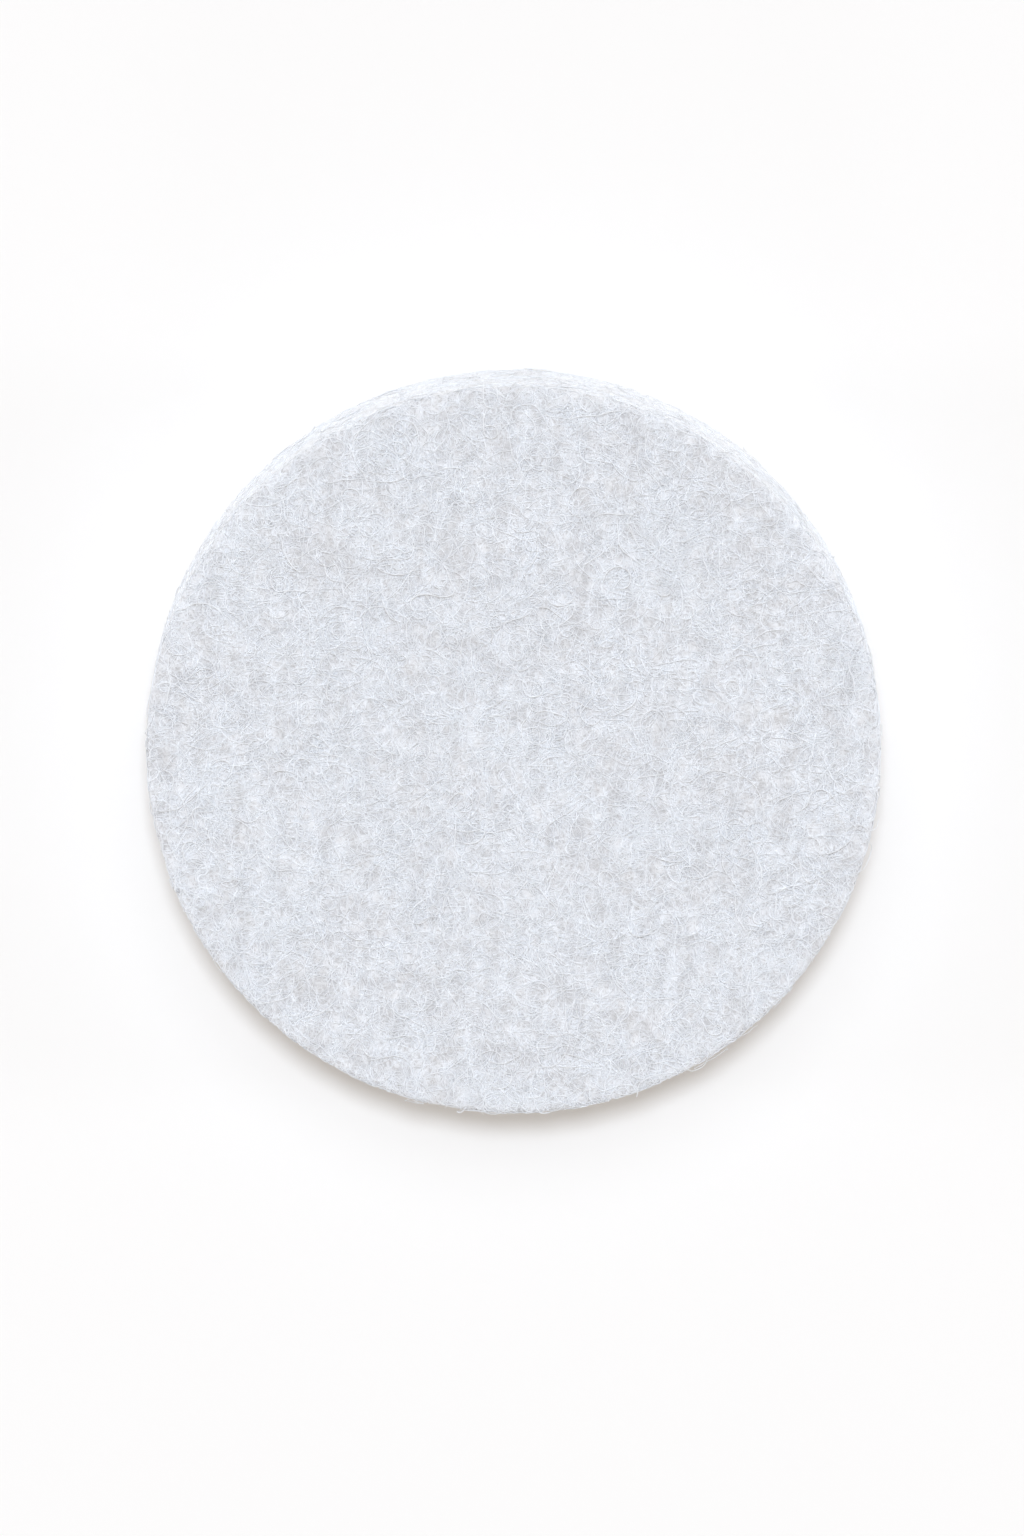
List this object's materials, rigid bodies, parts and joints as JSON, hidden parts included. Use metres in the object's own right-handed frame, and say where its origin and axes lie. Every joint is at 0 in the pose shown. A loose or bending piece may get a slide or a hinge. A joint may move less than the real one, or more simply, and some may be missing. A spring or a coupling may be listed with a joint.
{
  "type": "felt furniture pad",
  "caption": "Flat round disc of thick pale felt that goes under the foot of a chair or table, so that it slides quietly and doesn't scratch the floor.",
  "frame": {"origin": "centre of the flat back face, which is the side fastened to the furniture", "axes": "+Z is the disc's axis, from the back face to the glide face; the disc is round, so X and Y have no marks on it"},
  "size_m": [0.025, 0.025, 0.005],
  "materials": {
    "felt": "thick needled felt, pale and slightly bluish white, matt and fuzzy, with brighter tufts over greyer pits"
  },
  "bodies": {
    "root": {"felt_pad": "felt"}
  },
  "joints": []
}
